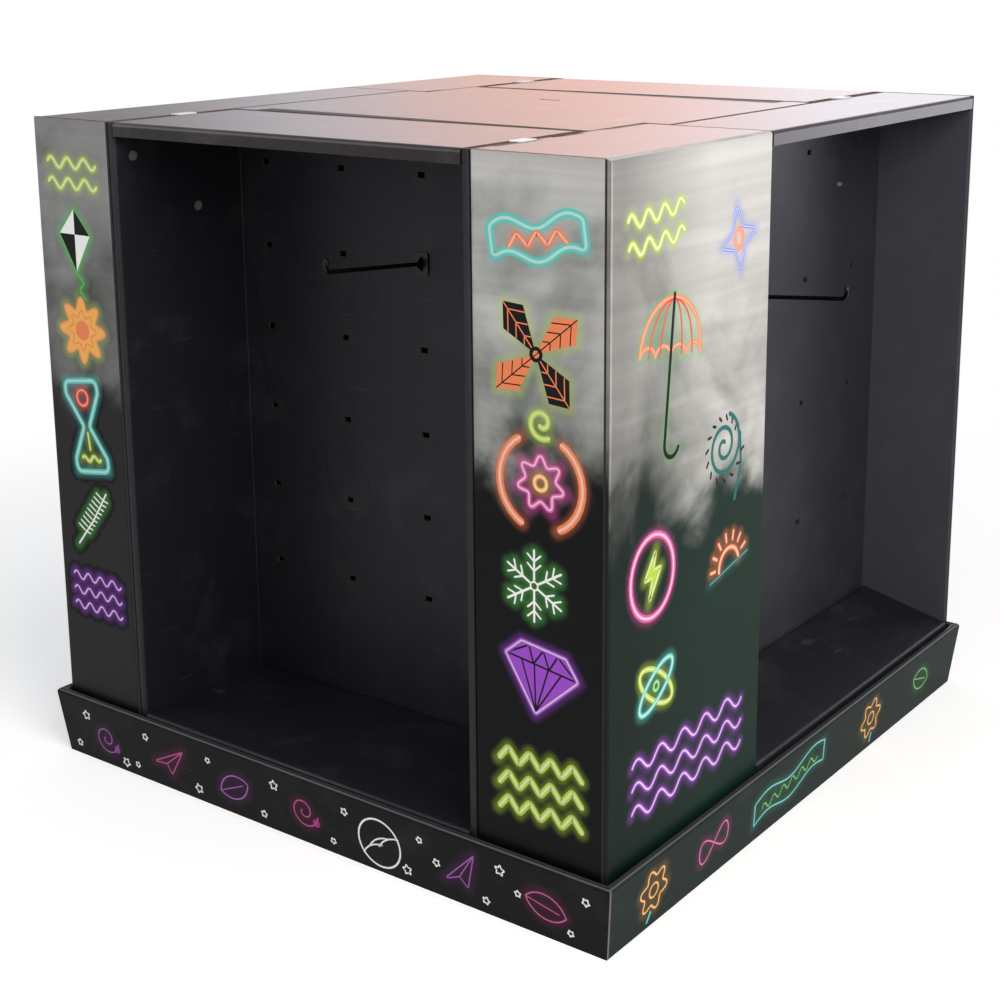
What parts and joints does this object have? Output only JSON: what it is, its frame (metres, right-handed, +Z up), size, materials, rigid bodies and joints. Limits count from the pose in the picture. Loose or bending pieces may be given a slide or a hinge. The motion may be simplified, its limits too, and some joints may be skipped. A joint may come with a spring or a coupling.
{
  "type": "pallet display rack",
  "caption": "Corrugated display rack with a pegged bay and a closed printed column on each side, on a low wooden pallet inside a cardboard skirt.",
  "frame": {"origin": "middle of the footprint, on the floor", "axes": "+Z up; -Y is the front with the wide bay and +X the right side with the wide printed column; +Y is the longest side"},
  "size_m": [1.0472, 1.0912, 1.0072],
  "materials": {
    "printed_column_board": "satin printed corrugated board",
    "printed_skirt_board": "satin printed corrugated board",
    "black_board": "satin black corrugated board",
    "pallet_wood": "rough sawn softwood",
    "clear_rivet_plastic": "translucent moulded polyethylene",
    "white_clip_plastic": "white moulded plastic",
    "black_hook_plastic": "black moulded plastic"
  },
  "bodies": {
    "root": {"pallet_stringer_front": "pallet_wood", "pallet_stringer_middle": "pallet_wood", "pallet_stringer_back": "pallet_wood", "pallet_deck_board_1": "pallet_wood", "pallet_deck_board_2": "pallet_wood", "pallet_deck_board_3": "pallet_wood", "pallet_deck_board_4": "pallet_wood", "pallet_deck_board_5": "pallet_wood", "pallet_deck_board_6": "pallet_wood", "pallet_deck_board_7": "pallet_wood", "pallet_base_board_1": "pallet_wood", "pallet_base_board_2": "pallet_wood", "pallet_base_board_3": "pallet_wood", "skirt_front_left": "printed_skirt_board", "skirt_back_right": "printed_skirt_board", "right_column": "printed_column_board", "left_column": "printed_column_board", "right_bay_wall": "black_board", "left_bay_wall": "black_board", "right_top": "black_board", "left_top": "black_board", "right_floor": "black_board", "left_floor": "black_board", "front_bay_wall": "black_board", "back_bay_wall": "black_board", "front_top": "black_board", "back_top": "black_board", "front_floor": "black_board", "back_floor": "black_board", "front_rivets": "clear_rivet_plastic", "back_rivets": "clear_rivet_plastic", "core_cap": "black_board", "core_divider_along": "black_board", "core_divider_across": "black_board", "seam_clips": "white_clip_plastic", "front_peg_hook": "black_hook_plastic", "right_peg_hook": "black_hook_plastic"}
  },
  "joints": []
}
